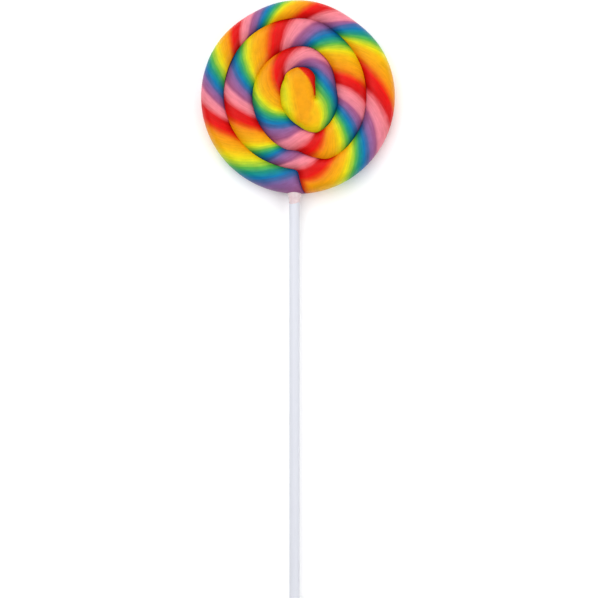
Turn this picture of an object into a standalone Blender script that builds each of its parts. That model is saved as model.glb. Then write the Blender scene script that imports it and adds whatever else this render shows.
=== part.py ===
"""Swirl lollipop: one twisted candy rope coiled flat into a disc, on a straight white stick.

Metres, +Z up. The part lies on its back: the coil's flattened underside is on Z = 0, the
disc is toward +Y and the stick runs toward -Y, in the air at the coil's middle height.
The origin is on the ground, under the centre of the whole part's bounding box.
"""

import math

import bmesh
import bpy
import numpy as np

# Driving dimensions.
HEAD_RADIUS = 0.038
MIDDLE_HEIGHT = 0.0052
ROPE_RISE = 0.0056
ROPE_SHOULDER = 0.005
CREASE_CUT = 0.0006
CREASE_SHALLOWS = 0.003
UNEVENNESS = 0.05
LUMP_LENGTH = 0.006
STICK_DIAMETER = 0.0041
STICK_LENGTH = 0.186
STICK_IN_HEAD = 0.024
STICK_OFFSET = -0.0014
STICK_EDGE = 0.0003
FIT_GAP = 0.0003
COLLAR_ROOT_RADIUS = 0.003
COLLAR_LIP_RADIUS = 0.00265
COLLAR_LENGTH = 0.004
COLLAR_ROOT_DEPTH = 0.004
BORE_OVERRUN = 0.001

# The pressed flats of the rim: angle and half width in degrees, and how far each is pushed in.
RIM_FLATS = ((150, 18, 0.0006), (216, 20, 0.0009))

# The crease between neighbouring turns, as (angle in degrees, radius in millimetres).
# Angles run clockwise from the stick and go on counting from turn to turn, inward.
CREASE_START = 355
CREASE_END = 1357
CENTRE_CLOSES = 1440
CREASE_ROUTE = (
    (355, 38.0),
    (357, 36.4),
    (358.5, 33.2),
    (360, 29.6),
    (366, 28.4),
    (396, 28.3),
    (450, 29.0),
    (510, 30.2),
    (552, 30.6),
    (570, 29.1),
    (602, 27.4),
    (630, 26.7),
    (660, 27.2),
    (692, 27.2),
    (705, 24.7),
    (720, 21.4),
    (734, 21.1),
    (770, 18.8),
    (812, 17.8),
    (863, 18.2),
    (912, 19.8),
    (939, 18.2),
    (974, 15.5),
    (1006, 15.9),
    (1050, 16.0),
    (1062, 14.5),
    (1080, 11.4),
    (1110, 8.6),
    (1140, 7.4),
    (1172, 6.9),
    (1218, 8.4),
    (1232, 10.0),
    (1260, 11.4),
    (1280, 11.6),
    (1299, 10.4),
    (1311, 8.6),
    (1330, 7.3),
    (1357, 6.9),
    (1400, 8.5),
    (1440, 11.4),
)

# How finely the coil is faceted.
COLUMN_STEP = 5
ROPE_TIP_COLUMNS = (356.2, 357.4, 358.6, 361.5, 363)
TOP_FACETS = 8
UNDERSIDE_FACETS = 6
CENTRE_RINGS = 5
CREASE_SAMPLE = 0.00025
SAMPLES_PER_DEGREE = 4
POINTS_AT_ONCE = 500
STICK_SIDES = 32
SHARP_ANGLE = math.radians(40)

MILLIMETRE = 0.001
FULL_TURN = 360
TINY = 1e-14


def clear_scene():
    """Remove every object, so that the part is alone."""
    for leftover in list(bpy.data.objects):
        bpy.data.objects.remove(leftover, do_unlink=True)


def plain_material(name, colour, roughness, metallic=0.0):
    """A Principled material of one colour."""
    material = bpy.data.materials.new(name)
    material.use_nodes = True
    shader = material.node_tree.nodes["Principled BSDF"]
    shader.inputs["Base Color"].default_value = (*colour, 1.0)
    shader.inputs["Roughness"].default_value = roughness
    shader.inputs["Metallic"].default_value = metallic
    return material


def rim_radius(angle):
    """Outer radius of the disc, pushed in a little where it was pressed flat."""
    radius = np.full(np.shape(angle), HEAD_RADIUS)
    for middle, half_width, depth in RIM_FLATS:
        across = (np.mod(angle, FULL_TURN) - middle) / half_width
        radius = radius - depth * np.exp(-across * across)
    return radius


def coil_radius(angle):
    """Outer edge of the rope at an unrolled angle: the rim at first, then the crease."""
    angle = np.asarray(angle, float)
    knots = np.array([knot[0] for knot in CREASE_ROUTE], float)
    radii = np.array([knot[1] for knot in CREASE_ROUTE], float) * MILLIMETRE
    slopes = np.zeros(len(knots))
    slopes[1:-1] = (radii[2:] - radii[:-2]) / (knots[2:] - knots[:-2])
    start = np.clip(np.searchsorted(knots, angle, side="right") - 1, 0, len(knots) - 2)
    span = knots[start + 1] - knots[start]
    u = (angle - knots[start]) / span
    crease = (2 * u**3 - 3 * u**2 + 1) * radii[start]
    crease += (u**3 - 2 * u**2 + u) * span * slopes[start]
    crease += (3 * u**2 - 2 * u**3) * radii[start + 1]
    crease += (u**3 - u**2) * span * slopes[start + 1]
    return np.where(angle < CREASE_START, rim_radius(angle), crease)


def on_disc(angle, radius):
    """Points of the disc's own plane, as an array of X, Y about the disc's centre."""
    turn = np.radians(angle)
    return np.stack([-radius * np.sin(turn), -radius * np.cos(turn)], axis=-1)


def evenly_spaced(first, last):
    """The rope's outer edge between two unrolled angles, as short steps and their lengths."""
    steps = int((last - first) * SAMPLES_PER_DEGREE)
    angle = np.linspace(first, last, steps)
    edge = on_disc(angle, coil_radius(angle))
    along = np.concatenate([[0.0], np.cumsum(np.linalg.norm(np.diff(edge, axis=0), axis=1))])
    count = int(along[-1] / CREASE_SAMPLE)
    middles = (np.arange(count) + 0.5) * along[-1] / count
    points = np.stack([np.interp(middles, along, edge[:, axis]) for axis in (0, 1)], axis=-1)
    return points, along[-1] / count


def clearance(points):
    """How far each point is from the creases and the rim, as a smooth blend of all of them.

    Each short length of edge pulls with the inverse fourth power of its distance, and the
    sum of a long straight edge's pulls gives back exactly the distance to that edge.
    """
    pull = np.zeros(len(points))
    for first, last in ((CREASE_START - FULL_TURN, CREASE_START), (CREASE_START, CREASE_END)):
        samples, length = evenly_spaced(first, last)
        for block in np.array_split(np.arange(len(points)), 1 + len(points) // POINTS_AT_ONCE):
            apart = points[block, None, :] - samples[None, :, :]
            squared = np.sum(apart * apart, axis=2) + TINY
            pull[block] += np.sum(length / squared**2, axis=1)
    return (2 * pull / math.pi) ** (-1 / 3)


def rope_height(points, on_crease):
    """Height of the rope's skin above its middle plane at each point of the disc.

    A quarter circle rises from each edge to the crest. A crease cuts it off part way down,
    less and less as the crease runs out to the rim.
    """
    clear = clearance(points)
    clear[on_crease] = 0.0
    angle = np.degrees(np.arctan2(-points[:, 0], -points[:, 1]))
    inside = (rim_radius(angle) - np.hypot(*points.T)) / CREASE_SHALLOWS
    x = np.clip((clear + CREASE_CUT * np.clip(inside, 0, 1)) / ROPE_SHOULDER, 0, 1)
    lumps = np.sin(points[:, 0] / LUMP_LENGTH + 1) * np.cos(points[:, 1] / LUMP_LENGTH)
    rise = ROPE_RISE * (1 - UNEVENNESS * (0.5 + 0.5 * lumps))
    return rise * np.sqrt(1 - (1 - x) ** 2)


def column_angles():
    """The columns of one full turn, from the angle where the rope's tip starts."""
    even = np.arange(CREASE_START, CREASE_START + FULL_TURN, COLUMN_STEP)
    return np.union1d(even, ROPE_TIP_COLUMNS) - FULL_TURN


def coil_skin(facets, first_index):
    """One side of the coil: its points, which lie on a crease or the rim, and its faces.

    The rope is a strip whose inner edge is the next turn's outer edge. It starts and ends
    with no width, and a fan of rings fills its hooked centre. Indices below first_index
    are the rim's, which both sides share.
    """
    one_turn = column_angles()
    per_turn = len(one_turn)
    turns = range(CENTRE_CLOSES // FULL_TURN)
    unrolled = np.concatenate([one_turn + turn * FULL_TURN for turn in turns])
    unrolled = unrolled[unrolled <= CENTRE_CLOSES - FULL_TURN]
    last = len(unrolled) - 1
    shares = (1 - np.cos(math.pi * np.arange(facets + 1) / facets)) / 2
    places, creases, grid = [], [], []

    def add(place, is_crease):
        places.append(place)
        creases.append(is_crease)
        return first_index + len(places) - 1

    for i, angle in enumerate(unrolled):
        outer = grid[i - per_turn][-1] if i >= per_turn else i
        if i in (0, last):
            grid.append([outer] * (facets + 1))
            continue
        outside, inside = coil_radius(angle), coil_radius(angle + FULL_TURN)
        row = [outer]
        for share in shares[1:]:
            place = on_disc(angle, outside + (inside - outside) * share)
            is_crease = share == 1 and angle + FULL_TURN <= CREASE_END
            row.append(add(place, is_crease))
        grid.append(row)

    faces = []
    for near, far in zip(grid, grid[1:]):
        for j in range(facets):
            faces.append((near[j], near[j + 1], far[j + 1], far[j]))

    rings = [[row[-1] for row in grid[last - per_turn : last]]]
    loop_angles = unrolled[last - per_turn : last] + FULL_TURN
    loop_places = on_disc(loop_angles, coil_radius(loop_angles))
    for ring in range(1, CENTRE_RINGS):
        shrink = math.cos(math.pi / 2 * ring / CENTRE_RINGS)
        rings.append([add(place * shrink, False) for place in loop_places])
    centre = add(np.zeros(2), False)
    rings.append([centre] * per_turn)
    for outer_ring, inner_ring in zip(rings, rings[1:]):
        for i in range(per_turn):
            after = (i + 1) % per_turn
            faces.append((outer_ring[i], inner_ring[i], inner_ring[after], outer_ring[after]))
    return np.array(places), np.array(creases), faces


def without_repeats(face):
    """The face with each corner once, for strips that end in a point."""
    kept = [corner for k, corner in enumerate(face) if corner != face[k - 1]]
    return kept if len(set(kept)) == len(kept) and len(kept) > 2 else None


def build_coil():
    """The coiled rope as one closed mesh: two skins that share the rim."""
    rim_angles = column_angles()
    rim = on_disc(rim_angles, rim_radius(rim_angles))
    count = len(rim)
    points = [np.column_stack([rim, np.full(count, MIDDLE_HEIGHT)])]
    faces = []
    placed = count
    for facets, side in ((TOP_FACETS, 1), (UNDERSIDE_FACETS, -1)):
        places, creases, skin_faces = coil_skin(facets, placed)
        heights = np.maximum(MIDDLE_HEIGHT + side * rope_height(places, creases), 0.0)
        points.append(np.column_stack([places, heights]))
        placed += len(places)
        for face in skin_faces:
            corners = without_repeats(face)
            if corners:
                faces.append(corners if side < 0 else corners[::-1])
    mesh = bpy.data.meshes.new("candy")
    mesh.from_pydata(np.concatenate(points).tolist(), [], faces)
    shape = bmesh.new()
    shape.from_mesh(mesh)
    bmesh.ops.triangulate(shape, faces=shape.faces)
    bmesh.ops.recalc_face_normals(shape, faces=shape.faces)
    shape.to_mesh(mesh)
    shape.free()
    return mesh


def turned_about_stick(name, stations, sides=STICK_SIDES):
    """A closed turned mesh round the stick's axis, from (distance along -Y, radius) pairs."""
    shape = bmesh.new()
    rings = []
    for along, radius in stations:
        ring = []
        for k in range(sides):
            turn = 2 * math.pi * k / sides
            ring.append(shape.verts.new((radius * math.cos(turn), -along, radius * math.sin(turn))))
        rings.append(ring)
    for near, far in zip(rings, rings[1:]):
        for k in range(sides):
            after = (k + 1) % sides
            shape.faces.new((near[k], near[after], far[after], far[k]))
    shape.faces.new(rings[0])
    shape.faces.new(rings[-1])
    bmesh.ops.recalc_face_normals(shape, faces=shape.faces)
    mesh = bpy.data.meshes.new(name)
    shape.to_mesh(mesh)
    shape.free()
    return mesh


def place(name, mesh, location, material=None):
    """Put a mesh into the scene as a named object."""
    placed = bpy.data.objects.new(name, mesh)
    placed.location = location
    if material:
        mesh.materials.append(material)
        mesh.shade_smooth()
        mesh.set_sharp_from_angle(angle=SHARP_ANGLE)
    bpy.context.scene.collection.objects.link(placed)
    return placed


def combine(target, helper, operation):
    """Join a helper to the target or cut it away, and keep the helper out of renders."""
    modifier = target.modifiers.new(helper.name, "BOOLEAN")
    modifier.object = helper
    modifier.operation = operation
    helper.hide_render = True
    helper.display_type = "WIRE"


def build_candy(head_y):
    """The candy coil, with its short collar round the stick and the blind hole for it."""
    centre = (0.0, head_y, 0.0)
    axis_at_centre = (STICK_OFFSET, head_y, MIDDLE_HEIGHT)
    sugar = plain_material("striped_candy", (0.85, 0.25, 0.08), 0.3)
    candy = place("candy", build_coil(), centre, sugar)
    collar = turned_about_stick(
        "collar",
        (
            (HEAD_RADIUS - COLLAR_ROOT_DEPTH, COLLAR_ROOT_RADIUS),
            (HEAD_RADIUS, COLLAR_ROOT_RADIUS),
            (HEAD_RADIUS + COLLAR_LENGTH, COLLAR_LIP_RADIUS),
        ),
    )
    bore_radius = STICK_DIAMETER / 2 + FIT_GAP
    bore = turned_about_stick(
        "bore",
        (
            (HEAD_RADIUS - STICK_IN_HEAD - FIT_GAP, bore_radius),
            (HEAD_RADIUS + COLLAR_LENGTH + BORE_OVERRUN, bore_radius),
        ),
    )
    combine(candy, place("collar", collar, axis_at_centre), "UNION")
    combine(candy, place("bore", bore, axis_at_centre), "DIFFERENCE")
    return candy


def build_stick(head_y):
    """The straight round stick, its two ends slightly eased."""
    paper = plain_material("white_paper", (0.88, 0.89, 0.93), 0.55)
    radius = STICK_DIAMETER / 2
    top = HEAD_RADIUS - STICK_IN_HEAD
    foot = top + STICK_LENGTH
    mesh = turned_about_stick(
        "stick",
        (
            (top, radius - STICK_EDGE),
            (top + STICK_EDGE, radius),
            (foot - STICK_EDGE, radius),
            (foot, radius - STICK_EDGE),
        ),
    )
    return place("stick", mesh, (STICK_OFFSET, head_y, MIDDLE_HEIGHT), paper)


def main():
    """Build both pieces, with the whole part centred on the origin."""
    clear_scene()
    head_reach = float(rim_radius(FULL_TURN / 2))
    foot_reach = HEAD_RADIUS - STICK_IN_HEAD + STICK_LENGTH
    head_y = (foot_reach - head_reach) / 2
    build_candy(head_y)
    build_stick(head_y)


main()
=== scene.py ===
"""Swirl lollipop: a rainbow rope of pulled sugar coiled into a disc, on a rolled paper stick.

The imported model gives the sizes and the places. This script makes the fine surfaces round
them: the coiled rope with its twisted stripes, the collar of sugar that grips the stick,
and the stick. Metres, +Z up, out of the shown side.

Angles along the rope are in degrees. They run clockwise from the stick, as seen from above,
and go on counting from turn to turn, inward.
"""

import logging
import math
from dataclasses import dataclass, field
from enum import Enum
from typing import Any

import bmesh
import bpy
import numpy as np
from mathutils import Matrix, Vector


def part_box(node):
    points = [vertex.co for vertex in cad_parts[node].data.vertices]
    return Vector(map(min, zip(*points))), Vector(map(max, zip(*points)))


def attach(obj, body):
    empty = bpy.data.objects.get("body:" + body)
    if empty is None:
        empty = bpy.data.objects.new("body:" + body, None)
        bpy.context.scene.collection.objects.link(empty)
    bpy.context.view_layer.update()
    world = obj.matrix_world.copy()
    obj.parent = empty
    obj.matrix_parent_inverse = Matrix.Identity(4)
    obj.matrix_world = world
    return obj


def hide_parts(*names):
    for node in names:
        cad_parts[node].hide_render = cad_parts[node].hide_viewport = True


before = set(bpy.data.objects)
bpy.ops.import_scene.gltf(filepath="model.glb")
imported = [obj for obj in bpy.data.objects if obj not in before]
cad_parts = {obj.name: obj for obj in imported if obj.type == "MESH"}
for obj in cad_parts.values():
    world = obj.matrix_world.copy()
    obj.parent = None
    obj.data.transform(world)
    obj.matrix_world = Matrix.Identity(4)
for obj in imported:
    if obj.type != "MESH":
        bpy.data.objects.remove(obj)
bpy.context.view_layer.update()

LOG = logging.getLogger("lollipop")
BODY = "root"
ROPE_MAP = "rope"

MILLIMETRE = 0.001
FULL_TURN = 360
SHARP_ANGLE = math.radians(50)

# How much brighter the studio makes a surface look than its own colour. The lollipop's
# colours are divided by it, so that they are seen as they are named.
LIGHT_LEVEL = 1.37

# Numbers of a Mix node's colour sockets, which share their names with its other sockets.
MIX_FIRST = 6
MIX_SECOND = 7
MIX_RESULT = 2

Array = np.ndarray
Colour = tuple[int, int, int]


# ---------------------------------------------------------------- shader kit


def linear(colour: Colour) -> tuple[float, float, float, float]:
    """Turn a colour as it is seen into the renderer's linear values, by the usual screen curve.

    Args:
        colour: Red, green and blue, each from 0 to 255.

    Returns:
        Linear red, green, blue, and an alpha of 1.
    """
    channels = []
    for value in colour:
        share = value / 255
        low = share / 12.92
        channels.append(low if share <= 0.04045 else ((share + 0.055) / 1.055) ** 2.4)
    return (*channels, 1.0)


class Wire:
    """A value on its way between two shader nodes, which can be used in arithmetic."""

    def __init__(self, recipe: "Recipe", socket: bpy.types.NodeSocket) -> None:
        """Wrap one output socket of a recipe's node."""
        self.recipe = recipe
        self.socket = socket

    def _math(self, operation: str, first: Any, second: Any = 0.0) -> "Wire":
        """Add one Math node and return its result."""
        return self.recipe.node("ShaderNodeMath", {"operation": operation}, {0: first, 1: second})

    def __add__(self, other: "Wire | float") -> "Wire":
        """Sum of this value and another."""
        return self._math("ADD", self, other)

    def __radd__(self, other: float) -> "Wire":
        """Sum of a number and this value."""
        return self._math("ADD", other, self)

    def __sub__(self, other: "Wire | float") -> "Wire":
        """This value less another."""
        return self._math("SUBTRACT", self, other)

    def __rsub__(self, other: float) -> "Wire":
        """A number less this value."""
        return self._math("SUBTRACT", other, self)

    def __mul__(self, other: "Wire | float") -> "Wire":
        """Product of this value and another."""
        return self._math("MULTIPLY", self, other)

    def __rmul__(self, other: float) -> "Wire":
        """Product of a number and this value."""
        return self._math("MULTIPLY", other, self)

    def __truediv__(self, other: "Wire | float") -> "Wire":
        """This value divided by another."""
        return self._math("DIVIDE", self, other)

    def fraction(self) -> "Wire":
        """The part of this value after its whole number."""
        return self._math("FRACT", self)

    def raised(self, power: float) -> "Wire":
        """This value raised to a power."""
        return self._math("POWER", self, power)

    def clamped(self) -> "Wire":
        """This value held between 0 and 1."""
        return self.recipe.node("ShaderNodeClamp", None, {"Value": self})


class Recipe:
    """A node tree that is filled one node at a time."""

    def __init__(self, tree: bpy.types.NodeTree) -> None:
        """Start from an empty tree."""
        self.tree = tree
        self.tree.nodes.clear()

    def node(
        self,
        kind: str,
        settings: dict[str, Any] | None = None,
        sockets: dict[str | int, Any] | None = None,
        output: str | int = 0,
    ) -> Wire:
        """Add a node, set it up, then feed its sockets.

        Args:
            kind: The node's type.
            settings: Its own properties. A ramp's "stops" are (position, linear colour) pairs.
            sockets: A value or a Wire for each input named, or numbered.
            output: Which output to return.

        Returns:
            The chosen output.
        """
        made = self.tree.nodes.new(kind)
        for name, value in (settings or {}).items():
            if name == "stops":
                self._set_stops(made.color_ramp, value)
            else:
                setattr(made, name, value)
        for name, value in (sockets or {}).items():
            if isinstance(value, Wire):
                self.tree.links.new(value.socket, made.inputs[name])
            else:
                made.inputs[name].default_value = value
        return Wire(self, made.outputs[output])

    @staticmethod
    def _set_stops(ramp: bpy.types.ColorRamp, stops: list[tuple[float, Any]]) -> None:
        """Put a ramp's stops in place, first to last. A new ramp already has two."""
        for position, _ in stops[2:]:
            ramp.elements.new(position)
        for element, (position, colour) in zip(ramp.elements, stops):
            element.position = position
            element.color = colour

    def mix(self, factor: "Wire | float", first: Any, second: Any) -> Wire:
        """Blend two colours, from the first at factor 0 to the second at 1."""
        sockets = {0: factor, MIX_FIRST: first, MIX_SECOND: second}
        return self.node("ShaderNodeMix", {"data_type": "RGBA"}, sockets, output=MIX_RESULT)

    def scaled(self, colour: Wire, by: "Wire | float") -> Wire:
        """Make a colour lighter or darker by a factor."""
        settings = {"operation": "SCALE"}
        return self.node("ShaderNodeVectorMath", settings, {0: colour, "Scale": by})

    def noise(self, where: Wire, scale: float, detail: float = 2.0) -> Wire:
        """Cloudy values about one half, with features about 1 / scale across."""
        sockets = {"Vector": where, "Scale": scale, "Detail": detail}
        return self.node("ShaderNodeTexNoise", None, sockets)

    def place(self) -> Wire:
        """The place on the piece, in metres."""
        return self.node("ShaderNodeTexCoord", None, None, output="Object")

    def bump(self, height: Wire, depth: float) -> Wire:
        """A normal that rises and falls with a height from 0 to 1, by a depth in metres."""
        return self.node("ShaderNodeBump", None, {"Height": height, "Distance": depth})

    def end(self, kind: str, surface: Wire) -> None:
        """Add the tree's output node and connect the surface to it."""
        output = self.tree.nodes.new(kind)
        self.tree.links.new(surface.socket, output.inputs["Surface"])

    def finish(self, sockets: dict[str | int, Any]) -> None:
        """Add the surface shader, feed its sockets, and end the material with it."""
        surface = self.node("ShaderNodeBsdfPrincipled", None, sockets)
        self.end("ShaderNodeOutputMaterial", surface)


def new_material(name: str) -> tuple[bpy.types.Material, Recipe]:
    """Make an empty material.

    Args:
        name: The material's name.

    Returns:
        The material and the recipe that fills it.
    """
    material = bpy.data.materials.new(name)
    material.use_nodes = True
    return material, Recipe(material.node_tree)


# ------------------------------------------------------------------ finishes


class Pigment(Enum):
    """The colours pulled into the rope: where each is in one repeat of the rainbow, as seen."""

    INDIGO = (0.0, (75, 100, 160))
    BLUE = (0.05, (0, 120, 180))
    TEAL = (0.115, (15, 150, 130))
    GREEN = (0.17, (90, 185, 70))
    LIME = (0.23, (200, 220, 35))
    YELLOW = (0.26, (240, 225, 10))
    AMBER = (0.33, (250, 185, 0))
    TANGERINE = (0.455, (250, 150, 0))
    VERMILION = (0.51, (240, 80, 0))
    RED = (0.55, (240, 10, 0))
    CRIMSON = (0.64, (220, 5, 10))
    PINK = (0.71, (250, 135, 145))
    PALE_PINK = (0.8, (245, 140, 160))
    PLUM = (0.85, (170, 90, 135))
    LAVENDER = (0.96, (140, 100, 160))

    @classmethod
    def rainbow(cls) -> list[tuple[float, tuple[float, ...]]]:
        """Stops of a ramp over one repeat, which ends in the colour that it starts with."""
        stops = [(pigment.value[0], linear(pigment.value[1])) for pigment in cls]
        return [*stops, (1.0, stops[0][1])]


@dataclass(frozen=True)
class StripedSugar:
    """Satin pulled sugar in rainbow stripes, with fine threads running along each stripe.

    The creases get painted shade: near their bottoms the colour is darker and deeper, and how
    strong this is follows the place in one repeat of the rainbow.
    """

    wander: float = 0.02
    wander_scale: float = 260.0
    threads_per_repeat: float = 60.0
    threads_along: float = 160.0
    thread_detail: float = 3.0
    thread_wander: float = 0.03
    thread_shade: float = 0.5
    thread_relief: float = 0.7
    cloud_scale: float = 420.0
    cloud_detail: float = 4.0
    cloud_shade: float = 0.3
    cloud_relief: float = 0.6
    painted_shade_reach: float = 0.6
    painted_shade_power: float = 1.5
    painted_shade_deepening: float = 0.62
    painted_shade_darkening: float = 0.2
    painted_shade_by_phase: tuple[tuple[float, float], ...] = (
        (0.0, 0.8), (0.05, 1.0), (0.18, 0.7), (0.3, 0.45), (0.44, 0.35), (0.52, 1.0),
        (0.65, 1.0), (0.7, 0.1), (0.8, 0.1), (0.86, 0.35), (1.0, 0.8),
    )
    roughness: float = 0.42
    roughness_change: float = 0.2
    relief: float = 0.00012
    specular: float = 0.12

    def _painted_crease_shade(self, recipe: Recipe, clear: Wire, stripe: Wire) -> Wire:
        """How much painted shade a crease puts on a place: 1 for the strongest colours at its
        bottom.
        """
        depth = (1 - clear / self.painted_shade_reach).clamped().raised(self.painted_shade_power)
        stops = [(at, (share, share, share, 1.0)) for at, share in self.painted_shade_by_phase]
        return depth * recipe.node("ShaderNodeValToRGB", {"stops": stops}, {0: stripe})

    def material(self) -> bpy.types.Material:
        """Build the material, which reads the stripes from the rope map."""
        material, recipe = new_material("striped_sugar")
        place = recipe.place()
        rope = recipe.node("ShaderNodeUVMap", {"uv_map": ROPE_MAP}, None)
        phase = recipe.node("ShaderNodeSeparateXYZ", None, {0: rope}, output="X")
        clear = recipe.node("ShaderNodeSeparateXYZ", None, {0: rope}, output="Y")
        along = recipe.node("ShaderNodeSeparateXYZ", None, {0: place}, output="X")
        upward = recipe.node("ShaderNodeSeparateXYZ", None, {0: place}, output="Y")
        thread_place = recipe.node(
            "ShaderNodeCombineXYZ",
            None,
            {
                0: phase * self.threads_per_repeat,
                1: along * self.threads_along,
                2: upward * self.threads_along,
            },
        )
        threads = recipe.noise(thread_place, 1.0, self.thread_detail) - 0.5
        wandering = (recipe.noise(place, self.wander_scale) - 0.5) * self.wander
        stripe = (phase + wandering + threads * self.thread_wander).fraction()
        stripes = recipe.node("ShaderNodeValToRGB", {"stops": Pigment.rainbow()}, {0: stripe})
        # Painted shade in the creases: near them each stripe's colour is mixed toward its own
        # square, which deepens it, and is then darkened as well.
        crease = self._painted_crease_shade(recipe, clear, stripe)
        squared = {0: stripes, 1: stripes}
        painted_deep_colour = recipe.node("ShaderNodeVectorMath", {"operation": "MULTIPLY"}, squared)
        with_painted_shade = recipe.mix(crease * self.painted_shade_deepening, stripes, painted_deep_colour)
        clouds = recipe.noise(place, self.cloud_scale, self.cloud_detail) - 0.5
        shade = 1 + threads * self.thread_shade + clouds * self.cloud_shade
        # Random tone from the threads and clouds, less the painted shade of the creases.
        shade = shade - crease * self.painted_shade_darkening
        relief = 0.5 + clouds * self.cloud_relief + threads * self.thread_relief
        recipe.finish(
            {
                "Base Color": recipe.scaled(with_painted_shade, shade / LIGHT_LEVEL),
                "Roughness": self.roughness + clouds * self.roughness_change,
                "Specular IOR Level": self.specular,
                "Normal": recipe.bump(relief, self.relief),
            }
        )
        return material


@dataclass(frozen=True)
class CollarSugar:
    """A film of pale melted sugar, with the stick's white and the rope's pink in it."""

    pale: Colour = (253, 240, 238)
    pink: Colour = (240, 206, 214)
    patch_scale: float = 500.0
    patch_detail: float = 3.0
    roughness: float = 0.28
    roughness_change: float = 0.2
    relief: float = 0.0001
    glow: float = 0.3
    glow_reach: tuple[float, float, float] = (1.0, 0.6, 0.5)
    glow_depth: float = 0.001

    def material(self) -> bpy.types.Material:
        """Build the material."""
        material, recipe = new_material("collar_sugar")
        place = recipe.place()
        patches = recipe.noise(place, self.patch_scale, self.patch_detail)
        colour = recipe.mix(patches, linear(self.pink), linear(self.pale))
        recipe.finish(
            {
                "Base Color": recipe.scaled(colour, 1 / LIGHT_LEVEL),
                "Roughness": self.roughness + (patches - 0.5) * self.roughness_change,
                "Subsurface Weight": self.glow,
                "Subsurface Radius": self.glow_reach,
                "Subsurface Scale": self.glow_depth,
                "Normal": recipe.bump(patches, self.relief),
            }
        )
        return material


@dataclass(frozen=True)
class StickPaper:
    """Smooth white rolled paper, with faint fibres along it and its windings at the ends."""

    white: Colour = (238, 240, 248)
    shade: Colour = (228, 231, 242)
    fibre_scale: float = 900.0
    fibre_stretch: float = 0.06
    fibre_detail: float = 4.0
    roughness: float = 0.5
    roughness_change: float = 0.2
    relief: float = 0.00003

    def material(self) -> bpy.types.Material:
        """Build the material."""
        material, recipe = new_material("stick_paper")
        stretched = recipe.node(
            "ShaderNodeVectorMath",
            {"operation": "MULTIPLY"},
            {0: recipe.place(), 1: (1.0, self.fibre_stretch, 1.0)},
        )
        fibres = recipe.noise(stretched, self.fibre_scale, self.fibre_detail)
        colour = recipe.mix(fibres, linear(self.shade), linear(self.white))
        recipe.finish(
            {
                "Base Color": recipe.scaled(colour, 1 / LIGHT_LEVEL),
                "Roughness": self.roughness + (fibres - 0.5) * self.roughness_change,
                "Normal": recipe.bump(fibres, self.relief),
            }
        )
        return material


@dataclass(frozen=True)
class TableTop:
    """A plain, matt, nearly white table top."""

    white: Colour = (254, 254, 254)
    shade: Colour = (251, 251, 251)
    patch_scale: float = 6.0
    roughness: float = 0.8
    specular: float = 0.1

    def material(self) -> bpy.types.Material:
        """Build the material."""
        material, recipe = new_material("table_top")
        patches = recipe.noise(recipe.place(), self.patch_scale)
        colour = recipe.mix(patches, linear(self.shade), linear(self.white))
        recipe.finish(
            {
                "Base Color": colour,
                "Roughness": self.roughness,
                "Specular IOR Level": self.specular,
            }
        )
        return material


# ------------------------------------------------------------- the rope coil


def smooth_step(value: Array) -> Array:
    """Ease from 0 to 1 as a value goes from 0 to 1, and hold on both sides."""
    held = np.clip(value, 0.0, 1.0)
    return held * held * (3 - 2 * held)


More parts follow.
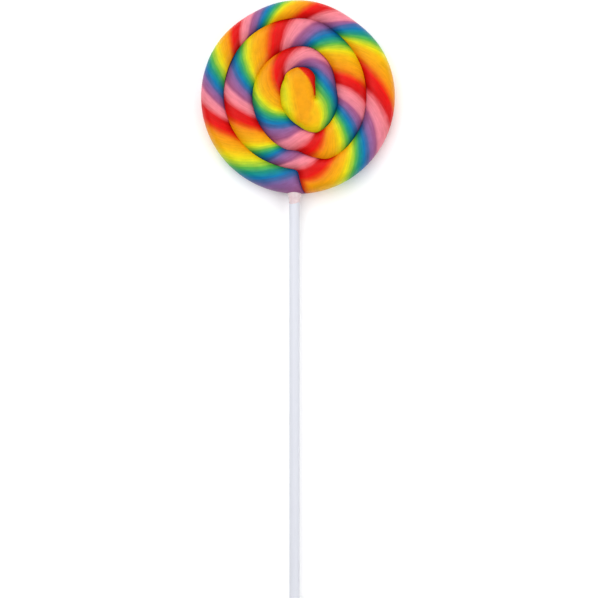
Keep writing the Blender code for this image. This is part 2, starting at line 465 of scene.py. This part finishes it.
@dataclass(frozen=True)
class CoilRoute:
    """Where the rope's edges run on the disc: its pressed rim, and the crease between turns.

    The crease goes through pairs of an angle and a radius in millimetres. Each flat of the
    rim has a middle and a half width, both as angles, and a depth in metres.
    """

    head_radius: float
    rim_flats: tuple[tuple[float, float, float], ...] = ((150, 18, 0.0006), (216, 20, 0.0009))
    crease_start: float = 355
    crease_end: float = 1357
    centre_closes: float = 1440
    easing: tuple[float, float] = (335, 372)
    crease: tuple[tuple[float, float], ...] = (
        (355, 38.0), (357, 36.4), (358.5, 33.2), (360, 29.6), (366, 28.4), (396, 28.3),
        (450, 29.0), (510, 30.2), (552, 30.6), (570, 29.1), (602, 27.4), (630, 26.7),
        (660, 27.2), (692, 27.2), (705, 24.7), (720, 21.4), (734, 21.1), (770, 18.8),
        (812, 17.8), (863, 18.2), (912, 19.8), (939, 18.2), (974, 15.5), (1006, 15.9),
        (1050, 16.0), (1062, 14.5), (1080, 11.4), (1110, 8.6), (1140, 7.4), (1172, 6.9),
        (1218, 8.4), (1232, 10.0), (1260, 11.4), (1280, 11.6), (1299, 10.4), (1311, 8.6),
        (1330, 7.3), (1357, 6.9), (1400, 8.5), (1440, 11.4),
    )

    def rim(self, angle: Array) -> Array:
        """Radius of the disc's rim, pushed in a little where it was pressed flat."""
        radius = np.full(np.shape(angle), self.head_radius)
        for middle, half_width, depth in self.rim_flats:
            away = (np.mod(angle, FULL_TURN) - middle) / half_width
            radius = radius - depth * np.exp(-away * away)
        return radius

    def edge(self, angle: Array) -> Array:
        """Radius of the rope's outer edge: the rim on the first turn, then the crease.

        Args:
            angle: Angles along the rope.

        Returns:
            Radii in metres, on a smooth curve through the crease's own points.
        """
        angle = np.asarray(angle, float)
        knots = np.array([knot[0] for knot in self.crease], float)
        radii = np.array([knot[1] for knot in self.crease], float) * MILLIMETRE
        slopes = np.zeros(len(knots))
        slopes[1:-1] = (radii[2:] - radii[:-2]) / (knots[2:] - knots[:-2])
        start = np.clip(np.searchsorted(knots, angle, side="right") - 1, 0, len(knots) - 2)
        span = knots[start + 1] - knots[start]
        u = (angle - knots[start]) / span
        crease = (2 * u**3 - 3 * u**2 + 1) * radii[start]
        crease += (u**3 - 2 * u**2 + u) * span * slopes[start]
        crease += (3 * u**2 - 2 * u**3) * radii[start + 1]
        crease += (u**3 - u**2) * span * slopes[start + 1]
        return np.where(angle < self.crease_start, self.rim(angle), crease)

    def stripe_edge(self, angle: Array) -> Array:
        """Outer edge that the stripes keep to, which eases inward before the rope's end."""
        first, last = self.easing
        start, end = self.edge(np.array([first, last], float))
        eased = start + (end - start) * smooth_step((angle - first) / (last - first))
        return np.where((angle > first) & (angle < last), eased, self.edge(angle))

    @staticmethod
    def on_disc(angle: Array, radius: Array) -> Array:
        """Places on the disc as X, Y about its centre."""
        turn = np.radians(angle)
        return np.stack([-radius * np.sin(turn), -radius * np.cos(turn)], axis=-1)


@dataclass(frozen=True)
class RopeForm:
    """The rope's round cross-section, as a height over the disc's middle plane."""

    route: CoilRoute
    rise: float
    shoulder: float = 0.005
    crease_cut: float = 0.0006
    crease_shallows: float = 0.003
    crease_change: float = 1.3
    fullest_phase: float = 0.36
    groove_phases: tuple[float, ...] = (0.0, 0.5, 0.67, 0.82)
    groove_width: float = 0.025
    groove_depth: float = 0.00025
    unevenness: float = 0.05
    lump_length: float = 0.006
    lump_shift: float = 1.0
    samples_per_degree: int = 4
    edge_step: float = 0.0005
    points_at_once: int = 400
    least_distance: float = 1e-6

    def _edge_pieces(self) -> tuple[Array, Array, Array, int]:
        """The crease, then the rim, as short straight pieces.

        Returns:
            Their starts, directions and lengths, and how many of them are the crease's.
        """
        starts, directions, lengths = [], [], []
        begin, end = self.route.crease_start, self.route.crease_end
        for first, last in ((begin, end), (begin - FULL_TURN, begin)):
            angle = np.linspace(first, last, int((last - first) * self.samples_per_degree))
            line = self.route.on_disc(angle, self.route.edge(angle))
            steps = np.linalg.norm(np.diff(line, axis=0), axis=1)
            along = np.concatenate([[0.0], np.cumsum(steps)])
            even = np.linspace(0.0, along[-1], int(along[-1] / self.edge_step) + 1)
            points = np.stack([np.interp(even, along, line[:, axis]) for axis in (0, 1)], axis=-1)
            across = np.diff(points, axis=0)
            length = np.linalg.norm(across, axis=1)
            starts.append(points[:-1])
            directions.append(across / length[:, None])
            lengths.append(length)
        joined = (np.concatenate(part) for part in (starts, directions, lengths))
        return (*joined, len(starts[0]))

    def clearance(self, points: Array) -> tuple[Array, Array]:
        """How far points are from the creases and the rim, as a smooth blend of all of them.

        Each piece of edge pulls with the inverse fourth power of its distance, in closed
        form, and a long straight edge's pull gives back exactly the distance to it.

        Args:
            points: X, Y places about the disc's centre.

        Returns:
            Distances in metres from creases and rim together, and from creases alone.
        """
        starts, directions, lengths, crease_count = self._edge_pieces()
        pull = np.zeros((2, len(points)))
        for block in np.array_split(np.arange(len(points)), 1 + len(points) // self.points_at_once):
            apart = points[block, None, :] - starts[None, :, :]
            along = np.sum(apart * directions, axis=2)
            aside = apart[..., 0] * directions[:, 1] - apart[..., 1] * directions[:, 0]
            d = np.maximum(np.abs(aside), self.least_distance)
            near, far = -along, lengths - along
            level = (far / (far**2 + d**2) - near / (near**2 + d**2)) / (2 * d**2)
            turned = np.arctan2(d * (far - near), d**2 + near * far) / (2 * d**3)
            pull[0, block] = np.sum(level + turned, axis=1)
            pull[1, block] = np.sum((level + turned)[:, :crease_count], axis=1)
        both, creases = (2 * pull / math.pi) ** (-1 / 3)
        return both, creases

    def height(self, points: Array, clear: Array, phase: Array) -> Array:
        """Height of the rope's skin over its middle plane.

        A quarter circle rises from each edge to the crest. A crease cuts it off part way
        down, less and less as the crease runs out to the rim. Shallow grooves run between
        the twisted strands of colour.

        Args:
            points: X, Y places about the disc's centre.
            clear: Each point's clearance from the creases and the rim.
            phase: Each point's phase of the rainbow, as the pulled strands are not all as full.

        Returns:
            One height in metres for each point.
        """
        angle = np.degrees(np.arctan2(-points[:, 0], -points[:, 1]))
        inside = (self.route.rim(angle) - np.hypot(*points.T)) / self.crease_shallows
        swell = 0.5 + 0.5 * np.cos(2 * math.pi * (phase - self.fullest_phase))
        fullness = 1 + self.crease_change * swell
        x = (clear + self.crease_cut * fullness * np.clip(inside, 0, 1)) / self.shoulder
        x = np.clip(x, 0, 1)
        wave = points / self.lump_length
        lumps = 0.5 + 0.5 * np.sin(wave[:, 0] + self.lump_shift) * np.cos(wave[:, 1])
        crest = self.rise * (1 - self.unevenness * lumps)
        for groove in self.groove_phases:
            apart = (np.mod(phase - groove + 0.5, 1) - 0.5) / self.groove_width
            crest -= self.groove_depth * np.exp(-apart * apart)
        return crest * np.sqrt(1 - (1 - x) ** 2)


@dataclass(frozen=True)
class RopeStripes:
    """Where the rope's twist brings each colour up, and how each stripe leans across it.

    One repeat of the rainbow is a phase of 1. Each row is one repeat, and each pair in it
    is where a colour starts on the rope's crest, and how much later it starts near the
    rope's outer side than on the crest, both as angles. The last repeat ends in its orange.
    The mark before the first one has its own phase as well.
    """

    starts: tuple[float, ...] = (0.0, 0.32, 0.5, 0.67, 0.82)
    repeats: tuple[tuple[tuple[float, float], ...], ...] = (
        ((12, 10), (50, 6), (65, 6), (79, 5), (88, 5)),
        ((97, 5), (120, 4), (129, 4), (138, 4), (146, 4)),
        ((154, 4), (172, 6), (184, 4), (196, 5), (208, 6)),
        ((213, 4), (237, 9), (258, 12), (277, 7), (292, 8)),
        ((304, 6), (328, 7), (341, 7), (354, 7), (364, 7)),
        ((379, 4), (401, 7), (419, 8), (437, 8), (450, 7)),
        ((464, 8), (492, 8), (511, 6), (528, 5), (542, 7)),
        ((556, 6), (585, 9), (607, 8), (624, 7), (640, 6)),
        ((651, 6), (678, 6), (694, 8), (709, 8), (728, 11)),
        ((750, 15), (806, 20), (848, 16), (885, 11), (916, 18)),
    )
    last_starts: tuple[float, ...] = (0.0, 0.13, 0.235, 0.32)
    last_repeat: tuple[tuple[float, float], ...] = ((950, 20), (985, 25), (1025, 20), (1040, 12))
    before: tuple[float, float, float] = (-9, 8, -0.12)
    roundness: float = 0.6
    lean_taken_at: float = 0.36
    widest: float = 1.2
    shared_marks: int = 9

    def _lean(self, across: Array) -> Array:
        """Share of a stripe's lean at a place across the rope, from -1, inner, to 1, outer."""
        return np.arcsin(self.roundness * across) / math.asin(self.lean_taken_at)

    def _marks(self) -> Array:
        """Every stripe's start on the crest, its lean, and its phase, in order."""
        marks = [self.before]
        for count, repeat in enumerate((*self.repeats, self.last_repeat)):
            starts = self.starts if count < len(self.repeats) else self.last_starts
            marks += [(crest, lean, count + at) for (crest, lean), at in zip(repeat, starts)]
        return np.array(marks, float)

    def phases(self, angle: Array, across: Array, underneath: bool) -> Array:
        """Phase of the rainbow at each place of a side.

        Args:
            angle: Angle along the rope of each column.
            across: Place across the rope, from -1, inner, to 1, outer, by column and point.
            underneath: True for the lower side. The stripes wrap to it round the outer edge,
                and from there on each leans as much as its neighbours do on average.

        Returns:
            Phases by column and point.
        """
        leans = self._lean(np.clip(across, -self.widest, self.widest))
        at_edge = np.broadcast_to(leans[:, :1], leans.shape)
        crests, changes, starts = self._marks().T
        padded = np.pad(changes, self.shared_marks // 2, mode="edge")
        weights = np.full(self.shared_marks, 1 / self.shared_marks)
        shared = np.convolve(padded, weights, mode="valid")
        own = at_edge if underneath else leans
        wrapped = at_edge - leans if underneath else np.zeros(leans.shape)
        result = np.empty(across.shape)
        for spot in np.ndindex(across.shape):
            knots = np.maximum.accumulate(crests + changes * own[spot] + shared * wrapped[spot])
            result[spot] = np.interp(angle[spot[0]], knots, starts)
        return result


@dataclass(frozen=True)
class HookStripes:
    """The stripes where the rope's inner end folds back on itself in the disc's centre.

    They run up the fold: yellow on its left, orange along it, and red at its upper right.
    Places and widths are in millimetres from the disc's centre, X to the right and Y up.
    Round the fold's own edge, as angles, they are joined to the rope's stripes from one
    place to another, where no crease parts them.
    """

    last_repeat: int = 10
    yellow: float = 0.25
    orange: float = 0.4
    red: float = 0.55
    bend_angles: tuple[float, float, float, float] = (1035, 1055, 1060, 1080)
    bend_middle: float = 0.315
    bend_change: float = 0.065
    blend_depth: float = 2.0
    joined_from: float = 262
    joins_over: float = 20
    joined_until: float = 50
    parts_over: float = 25
    fringe: float = 0.07
    fringe_width: float = 2.5
    orange_from: float = -2.3
    orange_slant: float = 0.17
    orange_width: float = 2.0
    red_from: float = 6.6
    red_bow: float = 0.048
    red_lead: float = 1.2
    red_width: float = 1.6

    def along_bend(self, angle: Array, across: Array, phase: Array) -> Array:
        """Ease the rope's own phases into the yellow outside and orange inside of the fold."""
        first, second, third, fourth = self.bend_angles
        angle = angle[:, None]
        target = self.last_repeat + self.bend_middle - self.bend_change * across
        eased = phase + (target - phase) * smooth_step((angle - first) / (second - first))
        tip = self.last_repeat + self.yellow
        return eased + (tip - eased) * smooth_step((angle - third) / (fourth - third))

    def core(self, places: Array) -> Array:
        """Phase over the fold's own length.

        Args:
            places: X, Y places in metres about the disc's centre.

        Returns:
            One phase for each place.
        """
        x, y = places[..., 0] / MILLIMETRE, places[..., 1] / MILLIMETRE
        orange_edge = self.orange_from - self.orange_slant * y
        red_edge = self.red_from - self.red_bow * np.maximum(y, 0) ** 2
        left = np.clip((x - orange_edge + self.fringe_width) / self.fringe_width, 0, 1)
        middle = np.clip((x - orange_edge) / self.orange_width, 0, 1)
        right = smooth_step((x - red_edge + self.red_lead) / self.red_width)
        phase = self.yellow + self.fringe * left
        phase = phase + (self.orange - self.yellow - self.fringe) * middle
        return self.last_repeat + phase + (self.red - self.orange) * right


class Side(Enum):
    """The two sides of the coil, with how finely each is laid out across and in its centre."""

    SHOWN = (1, 26, 14)
    UNDERNEATH = (-1, 16, 8)

    @property
    def up(self) -> int:
        """1 for the shown side, -1 for the lower one."""
        return self.value[0]

    @property
    def facets(self) -> int:
        """Facets across the rope."""
        return self.value[1]

    @property
    def rings(self) -> int:
        """Rings in the fan that fills the hook."""
        return self.value[2]


@dataclass
class CoilSkin:
    """One side of the coil: a strip that winds inward, and a fan of rings in its centre.

    The strip's inner edge is the next turn's outer edge, so that each crease is one line of
    points. It starts and ends with no width. The rim's points come first of all in the mesh,
    and this side's own points are counted from first_index.
    """

    side: Side
    route: CoilRoute
    stripes: RopeStripes
    hook: HookStripes
    one_turn: Array
    first_index: int
    places: list[Array] = field(default_factory=list)
    on_crease: list[bool] = field(default_factory=list)
    faces: list[list[int]] = field(default_factory=list)
    corners: list[float] = field(default_factory=list)

    def __post_init__(self) -> None:
        """Lay out the strip and the fan."""
        per_turn = len(self.one_turn)
        turns = range(int(self.route.centre_closes) // FULL_TURN)
        unrolled = np.concatenate([self.one_turn + turn * FULL_TURN for turn in turns])
        self.unrolled = unrolled[unrolled <= self.route.centre_closes - FULL_TURN]
        self.last = len(self.unrolled) - 1
        facets = self.side.facets
        self.shares = (1 - np.cos(math.pi * np.arange(facets + 1) / facets)) / 2
        self.grid = self._lay_strip(per_turn)
        self.rings = self._lay_fan(per_turn)
        self._add_strip_faces()
        self._add_fan_faces(per_turn)

    def _add(self, place: Array, is_crease: bool) -> int:
        """Keep one more point and return its index."""
        self.places.append(place)
        self.on_crease.append(is_crease)
        return self.first_index + len(self.places) - 1

    def _lay_strip(self, per_turn: int) -> list[list[int]]:
        """Place the strip's points, and return their indices by column, outer edge first."""
        outside = self.route.edge(self.unrolled)
        inside = self.route.edge(self.unrolled + FULL_TURN)
        grid: list[list[int]] = []
        for i, angle in enumerate(self.unrolled):
            outer = grid[i - per_turn][-1] if i >= per_turn else i
            if i in (0, self.last):
                grid.append([outer] * len(self.shares))
                continue
            radii = outside[i] + (inside[i] - outside[i]) * self.shares[1:]
            ends_on_crease = angle + FULL_TURN <= self.route.crease_end
            row = [outer]
            for k, place in enumerate(self.route.on_disc(angle, radii)):
                row.append(self._add(place, ends_on_crease and k == len(radii) - 1))
            grid.append(row)
        return grid

    def _lay_fan(self, per_turn: int) -> list[list[int]]:
        """Place the fan's points inside the strip's last turn, and return them by ring."""
        loop = slice(self.last - per_turn, self.last)
        rings = [[row[-1] for row in self.grid[loop]]]
        self.loop_angles = self.unrolled[loop] + FULL_TURN
        self.loop_places = self.route.on_disc(self.loop_angles, self.route.edge(self.loop_angles))
        self.shrinks = np.cos(math.pi / 2 * np.arange(self.side.rings + 1) / self.side.rings)
        for shrink in self.shrinks[1:-1]:
            rings.append([self._add(place * shrink, False) for place in self.loop_places])
        centre = self._add(np.zeros(2), False)
        rings.append([centre] * per_turn)
        return rings

    def _add_face(self, corners: list[int], phases: list[float]) -> None:
        """Keep a face with each corner once, and the phase at each."""
        kept = [k for k, corner in enumerate(corners) if corner != corners[k - 1]]
        if len(kept) < 3 or len({corners[k] for k in kept}) < len(kept):
            return
        if self.side is Side.SHOWN:
            kept.reverse()
        self.faces.append([corners[k] for k in kept])
        self.corners.extend(phases[k] for k in kept)

    def _strip_phases(self) -> Array:
        """Phases over the strip, by column and share."""
        outer = self.route.edge(self.unrolled)[:, None]
        inner = self.route.edge(self.unrolled + FULL_TURN)[:, None]
        striped = self.route.stripe_edge(self.unrolled)[:, None]
        radius = outer + (inner - outer) * self.shares[None, :]
        across = 1 - 2 * (striped - radius) / np.maximum(striped - inner, MILLIMETRE)
        underneath = self.side is Side.UNDERNEATH
        phases = self.stripes.phases(self.unrolled, across, underneath)
        return phases if underneath else self.hook.along_bend(self.unrolled, across, phases)

    def _add_strip_faces(self) -> None:
        """Make the strip's faces, with the phase at each corner."""
        self.phases = self._strip_phases()
        for i in range(self.last):
            for j in range(self.side.facets):
                spots = ((i, j), (i, j + 1), (i + 1, j + 1), (i + 1, j))
                corners = [self.grid[column][k] for column, k in spots]
                self._add_face(corners, [self.phases[spot] for spot in spots])

    def _fan_phases(self) -> Array:
        """Phases over the fan, by ring and column, which meet the strip's where they are joined."""
        rings = self.loop_places[None, :, :] * self.shrinks[:, None, None]
        phase = self.hook.core(rings)
        turn = self.loop_angles - (self.route.centre_closes - FULL_TURN)
        reach = np.linalg.norm(self.loop_places, axis=1)
        depth = (1 - self.shrinks[:, None]) * reach[None, :] / (self.hook.blend_depth * MILLIMETRE)
        joined = smooth_step((turn - self.hook.joined_from) / self.hook.joins_over)
        joined = joined + smooth_step((self.hook.joined_until - turn) / self.hook.parts_over)
        near_edge = 1 - smooth_step(depth)
        loop = self.phases[self.last - len(turn) : self.last, -1]
        loop = np.where(turn < FULL_TURN / 4, self.hook.last_repeat + self.hook.yellow, loop)
        return phase + (loop[None, :] - phase) * near_edge * joined[None, :]

    def _add_fan_faces(self, per_turn: int) -> None:
        """Make the fan's faces, with the phase at each corner."""
        phases = self._fan_phases()
        for k in range(self.side.rings):
            for i in range(per_turn):
                after = (i + 1) % per_turn
                spots = ((k, i), (k + 1, i), (k + 1, after), (k, after))
                corners = [self.rings[ring][column] for ring, column in spots]
                self._add_face(corners, [phases[spot] for spot in spots])


@dataclass
class CandyCoil:
    """The coiled candy rope: its two skins joined at the rim, striped with sugar colours."""

    centre: Vector
    middle_height: float
    route: CoilRoute
    form: RopeForm
    stripes: RopeStripes = RopeStripes()
    hook: HookStripes = HookStripes()
    finish: StripedSugar = StripedSugar()
    column_step: float = 0.8
    tip_columns: tuple[float, float, float] = (355, 363, 0.2)

    def _columns(self) -> Array:
        """Angles of one turn's columns, closer together round the rope's outer end."""
        start = self.route.crease_start
        even = np.arange(start, start + FULL_TURN - self.column_step / 2, self.column_step)
        tip = np.arange(*self.tip_columns)
        return np.unique(np.round(np.concatenate([even, tip]), 3)) - FULL_TURN

    def build(self) -> bpy.types.Object:
        """Build and dress the coil."""
        one_turn = self._columns()
        rim = self.route.on_disc(one_turn, self.route.rim(one_turn))
        points = [np.column_stack([rim, np.full(len(rim), self.middle_height)])]
        faces: list[list[int]] = []
        phases: list[float] = []
        clear = [self.form.clearance(rim)[1]]
        placed = len(rim)
        for side in Side:
            skin = CoilSkin(side, self.route, self.stripes, self.hook, one_turn, placed)
            places = np.array(skin.places)
            open_by, from_crease = self.form.clearance(places)
            open_by[np.array(skin.on_crease)] = 0.0
            from_crease[np.array(skin.on_crease)] = 0.0
            corner_of = np.concatenate([np.array(face) for face in skin.faces])
            phase = np.zeros(placed + len(places))
            phase[corner_of] = skin.corners
            height = self.form.height(places, open_by, phase[placed:])
            level = np.maximum(self.middle_height + side.up * height, 0.0)
            points.append(np.column_stack([places, level]))
            clear.append(from_crease)
            faces.extend(skin.faces)
            phases.extend(skin.corners)
            placed += len(places)
        mesh = bpy.data.meshes.new("candy_coil")
        mesh.from_pydata((np.concatenate(points) + self.centre).tolist(), [], faces)
        rope_map = mesh.uv_layers.new(name=ROPE_MAP)
        corner_of = np.concatenate([np.array(face) for face in faces])
        # The map's second value is the distance from the creases, which the finish uses to place
        # its painted crease shade.
        marks = np.column_stack([phases, np.concatenate(clear)[corner_of] / self.form.shoulder])
        rope_map.data.foreach_set("uv", marks.astype(np.float32).ravel())
        return dressed("candy_coil", mesh, self.finish.material())


# ------------------------------------------------------- the collar and stick


def dressed(name: str, mesh: bpy.types.Mesh, material: bpy.types.Material) -> bpy.types.Object:
    """Put a mesh into the scene, smooth and in its finish.

    Args:
        name: The object's name.
        mesh: Its mesh.
        material: Its finish.

    Returns:
        The new object.
    """
    mesh.materials.append(material)
    mesh.shade_smooth()
    mesh.set_sharp_from_angle(angle=SHARP_ANGLE)
    piece = bpy.data.objects.new(name, mesh)
    bpy.context.scene.collection.objects.link(piece)
    return piece


@dataclass(frozen=True)
class Lathe:
    """Turns an outline round the stick's axis, which runs toward -Y from its start point."""

    start: Vector
    sides: int = 96

    @property
    def turn(self) -> Array:
        """Angles of the sides, in radians from the +X side."""
        return 2 * math.pi * np.arange(self.sides) / self.sides

    def mesh(self, name: str, along: Array, radius: Array, is_ring: bool) -> bpy.types.Mesh:
        """Make a closed turned mesh.

        Args:
            name: The mesh's name.
            along: Distance along the axis, by station and side.
            radius: Distance from the axis, by station and side.
            is_ring: True if the last station joins the first, false to cap both ends.

        Returns:
            The mesh, its faces pointing out.
        """
        turn = np.broadcast_to(self.turn, radius.shape)
        x = self.start.x + radius * np.cos(turn)
        z = self.start.z + radius * np.sin(turn)
        points = np.stack([x, self.start.y - along, z], axis=-1)
        stations = len(points)
        faces = []
        for i in range(stations if is_ring else stations - 1):
            near, far = i * self.sides, (i + 1) % stations * self.sides
            for k in range(self.sides):
                after = (k + 1) % self.sides
                faces.append((near + k, near + after, far + after, far + k))
        if not is_ring:
            faces.append(tuple(range(self.sides)))
            faces.append(tuple(range((stations - 1) * self.sides, stations * self.sides)))
        made = bpy.data.meshes.new(name)
        made.from_pydata(points.reshape(-1, 3).tolist(), [], faces)
        shape = bmesh.new()
        shape.from_mesh(made)
        bmesh.ops.recalc_face_normals(shape, faces=shape.faces)
        shape.to_mesh(made)
        shape.free()
        return made


@dataclass
class SugarCollar:
    """The sugar that ran down round the stick as the coil was pressed on, feathered out on it."""

    rim_point: Vector
    stick_radius: float
    root_radius: float = 0.0028
    root_depth: float = 0.003
    length: float = 0.004
    film: float = 0.00006
    inner_share: float = 0.9
    flare: float = 1.7
    length_change: float = 0.16
    length_waves: int = 2
    length_turn: float = 0.6
    lobe_depth: float = 0.00032
    lobe_waves: int = 3
    lobe_turn: float = 1.0
    ripple_share: float = 0.6
    ripple_waves: int = 5
    ripple_twist: float = 7.0
    stations: int = 26
    finish: CollarSugar = CollarSugar()

    def build(self) -> bpy.types.Object:
        """Build and dress the collar as a closed ring, its inner face hidden in the stick."""
        lathe = Lathe(self.rim_point)
        turn = lathe.turn[None, :]
        share = np.linspace(0, 1, self.stations)[:, None]
        longest = 0.5 + 0.5 * np.sin(self.length_waves * turn + self.length_turn)
        reach = 1 - self.length_change * longest
        along = -self.root_depth + share * (self.root_depth + self.length * reach)
        below_rim = np.clip(along / (self.length * reach), 0, 1)
        lip_radius = self.stick_radius + self.film
        outer = lip_radius + (self.root_radius - lip_radius) * (1 - below_rim) ** self.flare
        ripples = np.sin(self.ripple_waves * turn + self.ripple_twist * below_rim)
        lobes = np.sin(self.lobe_waves * turn + self.lobe_turn) + self.ripple_share * ripples
        outer = outer + self.lobe_depth * lobes * (1 - below_rim) * below_rim
        inner = np.full((2, lathe.sides), self.stick_radius * self.inner_share)
        ends = np.concatenate([along[-1:], along[:1]])
        radius = np.concatenate([outer, inner])
        mesh = lathe.mesh("sugar_collar", np.concatenate([along, ends]), radius, is_ring=True)
        return dressed("sugar_collar", mesh, self.finish.material())


@dataclass
class PaperStick:
    """The straight stick: rolled paper, with a fine seam along it and its windings at the ends."""

    top_point: Vector
    length: float
    radius: float
    seam_step: float = 0.00006
    seam_turn: float = -0.6
    eased: float = 0.0003
    eased_steps: int = 4
    windings: int = 6
    winding_depth: float = 0.00004
    dimple: float = 0.00025
    dimple_power: int = 3
    finish: StickPaper = StickPaper()

    def _end(self) -> tuple[Array, Array]:
        """Half an end's outline, from its centre out: how far in from the tip, and the radius."""
        radii, depths = [], []
        flat = self.radius - self.eased
        for k in range(2 * self.windings):
            share = (k + 0.5) / (2 * self.windings)
            radii.append(flat * share)
            with_painted_shade = self.dimple * (1 - share) ** self.dimple_power
            depths.append(with_painted_shade + self.winding_depth * (1 if k % 2 else 0))
        for k in range(self.eased_steps + 1):
            bend = math.pi / 2 * k / self.eased_steps
            radii.append(flat + self.eased * math.sin(bend))
            depths.append(self.eased * (1 - math.cos(bend)))
        return np.array(depths), np.array(radii)

    def build(self) -> bpy.types.Object:
        """Build and dress the stick."""
        lathe = Lathe(self.top_point)
        depths, radii = self._end()
        along = np.concatenate([depths, self.length - depths[::-1]])[:, None]
        around = np.mod(lathe.turn - self.seam_turn, 2 * math.pi) / (2 * math.pi)
        wrapped = 1 - self.seam_step / self.radius * around
        radius = np.concatenate([radii, radii[::-1]])[:, None] * wrapped[None, :]
        along = np.broadcast_to(along, radius.shape)
        mesh = lathe.mesh("paper_stick", along, radius, is_ring=False)
        return dressed("paper_stick", mesh, self.finish.material())


# -------------------------------------------------------------------- studio


@dataclass(frozen=True)
class SoftBox:
    """A large soft lamp that looks at the lollipop."""

    name: str
    place: tuple[float, float, float]
    size: float
    power: float

    def build(self, target: Vector) -> None:
        """Hang the lamp, turned toward the target and hidden from the camera."""
        light = bpy.data.lights.new(self.name, "AREA")
        light.shape = "SQUARE"
        light.size = self.size
        light.energy = self.power
        lamp = bpy.data.objects.new(self.name, light)
        lamp.location = self.place
        lamp.rotation_euler = (target - Vector(self.place)).to_track_quat("-Z", "Y").to_euler()
        lamp.visible_camera = False
        bpy.context.scene.collection.objects.link(lamp)


@dataclass
class Studio:
    """A plain pale table under soft light, with the camera looking straight down on it."""

    target: Vector
    table_half: float = 4.0
    table_gap: float = 0.00002
    room_strength: float = 0.6
    zenith_strength: float = 0.3
    camera_height: float = 1.2
    view_width: float = 0.2344
    view_centre: tuple[float, float] = (0.0004, -0.07918)
    sensor_width: float = 36.0
    boxes: tuple[SoftBox, ...] = (
        SoftBox("key_light", (-0.7, 0.55, 1.4), 1.9, 25.0),
        SoftBox("fill_light", (1.2, -0.35, 1.1), 1.3, 12.0),
        SoftBox("back_light", (0.2, 1.5, 1.0), 1.2, 9.0),
    )

    def _surroundings(self) -> None:
        """A pale room, dimmer straight above so that the gloss keeps its colour."""
        world = bpy.data.worlds.new("room")
        world.use_nodes = True
        recipe = Recipe(world.node_tree)
        direction = recipe.node("ShaderNodeTexCoord", None, None, output="Generated")
        height = recipe.node("ShaderNodeSeparateXYZ", None, {0: direction}, output="Z")
        change = self.zenith_strength - self.room_strength
        strength = self.room_strength + height.clamped() * change
        sockets = {"Color": (1.0, 1.0, 1.0, 1.0), "Strength": strength}
        recipe.end("ShaderNodeOutputWorld", recipe.node("ShaderNodeBackground", None, sockets))
        bpy.context.scene.world = world

    def _table(self) -> None:
        """The table top, a hair below the lollipop."""
        half = self.table_half
        signs = ((-1, -1), (1, -1), (1, 1), (-1, 1))
        corners = [(x * half, y * half, -self.table_gap) for x, y in signs]
        mesh = bpy.data.meshes.new("table")
        mesh.from_pydata(corners, [], [(0, 1, 2, 3)])
        dressed("table", mesh, TableTop().material())

    def _camera(self) -> None:
        """The camera, straight above the upper part of the stick."""
        lens = bpy.data.cameras.new("camera")
        lens.sensor_width = self.sensor_width
        lens.lens = self.sensor_width * self.camera_height / self.view_width
        camera = bpy.data.objects.new("camera", lens)
        across, along = self.view_centre
        height = self.target.z + self.camera_height
        camera.location = (self.target.x + across, self.target.y + along, height)
        bpy.context.scene.collection.objects.link(camera)
        bpy.context.scene.camera = camera

    def build(self) -> None:
        """Make the table, the room, the lamps and the camera."""
        bpy.context.scene.view_settings.view_transform = "Standard"
        self._surroundings()
        self._table()
        for box in self.boxes:
            box.build(self.target)
        self._camera()


def fitted(piece: bpy.types.Object, slot: str) -> None:
    """Fasten a piece to the frame in place of the CAD node of the same name as its slot."""
    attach(piece, BODY)
    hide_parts(slot)
    LOG.info("%s: %d faces, in place of %s", piece.name, len(piece.data.polygons), slot)


def main() -> None:
    """Build every piece in order, then the studio."""
    logging.basicConfig(level=logging.INFO, format="%(name)s: %(message)s")
    candy_low, candy_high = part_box("candy")
    stick_low, stick_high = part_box("stick")
    stick_axis = (stick_low + stick_high) / 2
    middle_height = stick_axis.z

    route = CoilRoute(head_radius=(candy_high.x - candy_low.x) / 2)
    centre_y = candy_high.y - float(route.rim(np.array(FULL_TURN / 2)))
    centre = Vector(((candy_high.x + candy_low.x) / 2, centre_y, 0.0))
    form = RopeForm(route, rise=candy_high.z - middle_height)
    fitted(CandyCoil(centre, middle_height, route, form).build(), "candy")

    stick_radius = (stick_high.x - stick_low.x) / 2
    rim_point = Vector((stick_axis.x, centre_y - route.head_radius, middle_height))
    fitted(SugarCollar(rim_point, stick_radius).build(), "candy")

    top_point = Vector((stick_axis.x, stick_high.y, middle_height))
    fitted(PaperStick(top_point, stick_high.y - stick_low.y, stick_radius).build(), "stick")

    Studio(Vector((centre.x, centre.y, middle_height))).build()


if __name__ == "__main__":
    main()
